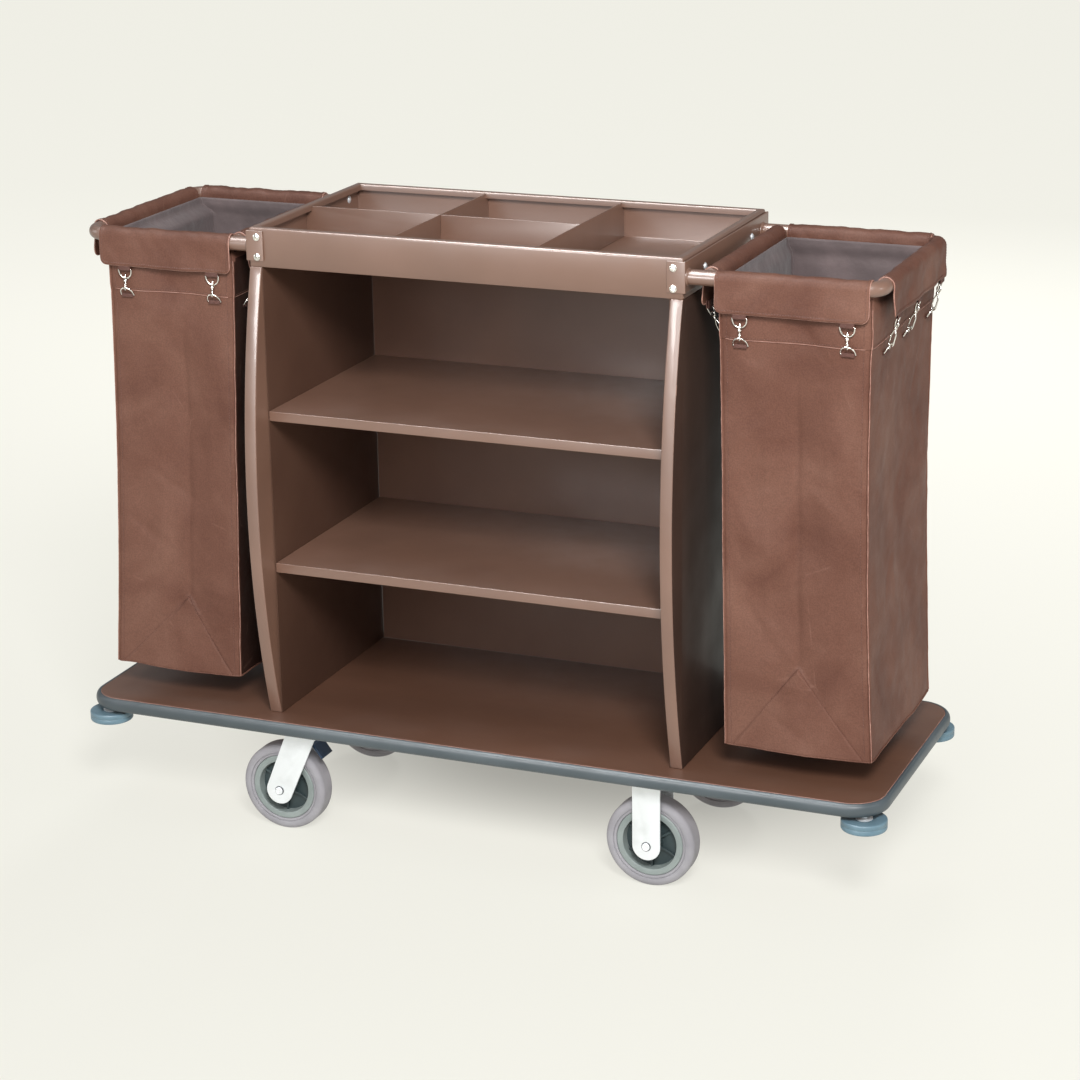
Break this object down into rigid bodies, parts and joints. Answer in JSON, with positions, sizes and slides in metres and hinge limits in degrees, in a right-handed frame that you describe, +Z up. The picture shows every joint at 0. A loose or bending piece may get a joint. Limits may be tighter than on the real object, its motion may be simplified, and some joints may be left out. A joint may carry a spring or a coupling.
{
  "type": "housekeeping cart",
  "caption": "Housekeeping cart: castor deck with bumper strip and corner rollers, open shelf cabinet with divided tray, and a hanging linen bag on a tube frame at each end.",
  "frame": {"origin": "on the floor under the middle of the cart", "axes": "+X along the length towards the end with the fixed castors, -Y out of the open front of the cabinet, +Z up"},
  "size_m": [1.492, 0.51, 1.099],
  "materials": {
    "board": "brown lacquered board",
    "paint": "brown powder coat, satin",
    "strip": "grey soft vinyl",
    "fabric": "reddish-brown coated fabric",
    "zinc": "bright zinc plate",
    "tread": "grey non-marking rubber",
    "hub": "grey moulded plastic",
    "roller": "blue-grey soft plastic",
    "pedal": "dark blue plastic"
  },
  "bodies": {
    "cart": {"deck_board": "board", "side_panel_left": "board", "side_panel_right": "board", "bumper_strip": "strip", "side_skin_left": "paint", "side_skin_right": "paint", "back_panel": "paint", "upper_shelf": "paint", "lower_shelf": "paint", "tray": "paint", "long_divider": "paint", "cross_divider_left": "paint", "cross_divider_right": "paint", "bag_bracket_left": "paint", "bag_bracket_right": "paint", "bag_frame_left": "paint", "bag_frame_right": "paint", "cross_bar_left": "paint", "cross_bar_right": "paint", "bag_left": "fabric", "bag_left_flap_front": "fabric", "bag_left_flap_rear": "fabric", "bag_left_flap_outer": "fabric", "bag_left_flap_inner": "fabric", "bag_right": "fabric", "bag_right_flap_front": "fabric", "bag_right_flap_rear": "fabric", "bag_right_flap_outer": "fabric", "bag_right_flap_inner": "fabric", "fork_front_right": "zinc", "swivel_plate_front_left": "zinc", "kingpin_front_left": "zinc", "roller_bolt_front_left": "zinc", "axle_front_right": "zinc", "roller_bolt_front_right": "zinc", "fork_rear_right": "zinc", "swivel_plate_rear_left": "zinc", "kingpin_rear_left": "zinc", "roller_bolt_rear_left": "zinc", "axle_rear_right": "zinc", "roller_bolt_rear_right": "zinc"},
    "swivel_front": {"fork_front_left": "zinc", "axle_front_left": "zinc"},
    "brake_front": {"brake_pedal_front_left": "pedal"},
    "wheel_front_left": {"tyre_front_left": "tread", "hub_front_left": "hub"},
    "bumper_roller_front_left": {"roller_front_left": "roller"},
    "wheel_front_right": {"tyre_front_right": "tread", "hub_front_right": "hub"},
    "bumper_roller_front_right": {"roller_front_right": "roller"},
    "swivel_rear": {"fork_rear_left": "zinc", "axle_rear_left": "zinc"},
    "brake_rear": {"brake_pedal_rear_left": "pedal"},
    "wheel_rear_left": {"tyre_rear_left": "tread", "hub_rear_left": "hub"},
    "bumper_roller_rear_left": {"roller_rear_left": "roller"},
    "wheel_rear_right": {"tyre_rear_right": "tread", "hub_rear_right": "hub"},
    "bumper_roller_rear_right": {"roller_rear_right": "roller"}
  },
  "joints": [
    {"name": "swivel_front_turn", "type": "hinge", "parent": "cart", "child": "swivel_front", "pos_m": [-0.326, -0.178, 0.1898], "axis": [0, 0, 1], "continuous": true},
    {"name": "wheel_front_left_spin", "type": "hinge", "parent": "swivel_front", "child": "wheel_front_left", "pos_m": [-0.372, -0.178, 0.08], "axis": [0, 1, 0], "continuous": true},
    {"name": "wheel_front_right_spin", "type": "hinge", "parent": "cart", "child": "wheel_front_right", "pos_m": [0.326, -0.178, 0.08], "axis": [0, 1, 0], "continuous": true},
    {"name": "brake_front_press", "type": "hinge", "parent": "swivel_front", "child": "brake_front", "pos_m": [-0.312, -0.178, 0.172], "axis": [0, 1, 0], "range_deg": [0, 20]},
    {"name": "bumper_roller_front_left_spin", "type": "hinge", "parent": "cart", "child": "bumper_roller_front_left", "pos_m": [-0.7075, -0.2165, 0.184], "axis": [0, 0, 1], "continuous": true},
    {"name": "bumper_roller_front_right_spin", "type": "hinge", "parent": "cart", "child": "bumper_roller_front_right", "pos_m": [0.7075, -0.2165, 0.184], "axis": [0, 0, 1], "continuous": true},
    {"name": "swivel_rear_turn", "type": "hinge", "parent": "cart", "child": "swivel_rear", "pos_m": [-0.326, 0.178, 0.1898], "axis": [0, 0, 1], "continuous": true},
    {"name": "wheel_rear_left_spin", "type": "hinge", "parent": "swivel_rear", "child": "wheel_rear_left", "pos_m": [-0.372, 0.178, 0.08], "axis": [0, 1, 0], "continuous": true},
    {"name": "wheel_rear_right_spin", "type": "hinge", "parent": "cart", "child": "wheel_rear_right", "pos_m": [0.326, 0.178, 0.08], "axis": [0, 1, 0], "continuous": true},
    {"name": "brake_rear_press", "type": "hinge", "parent": "swivel_rear", "child": "brake_rear", "pos_m": [-0.312, 0.178, 0.172], "axis": [0, 1, 0], "range_deg": [0, 20]},
    {"name": "bumper_roller_rear_left_spin", "type": "hinge", "parent": "cart", "child": "bumper_roller_rear_left", "pos_m": [-0.7075, 0.2165, 0.184], "axis": [0, 0, 1], "continuous": true},
    {"name": "bumper_roller_rear_right_spin", "type": "hinge", "parent": "cart", "child": "bumper_roller_rear_right", "pos_m": [0.7075, 0.2165, 0.184], "axis": [0, 0, 1], "continuous": true}
  ]
}
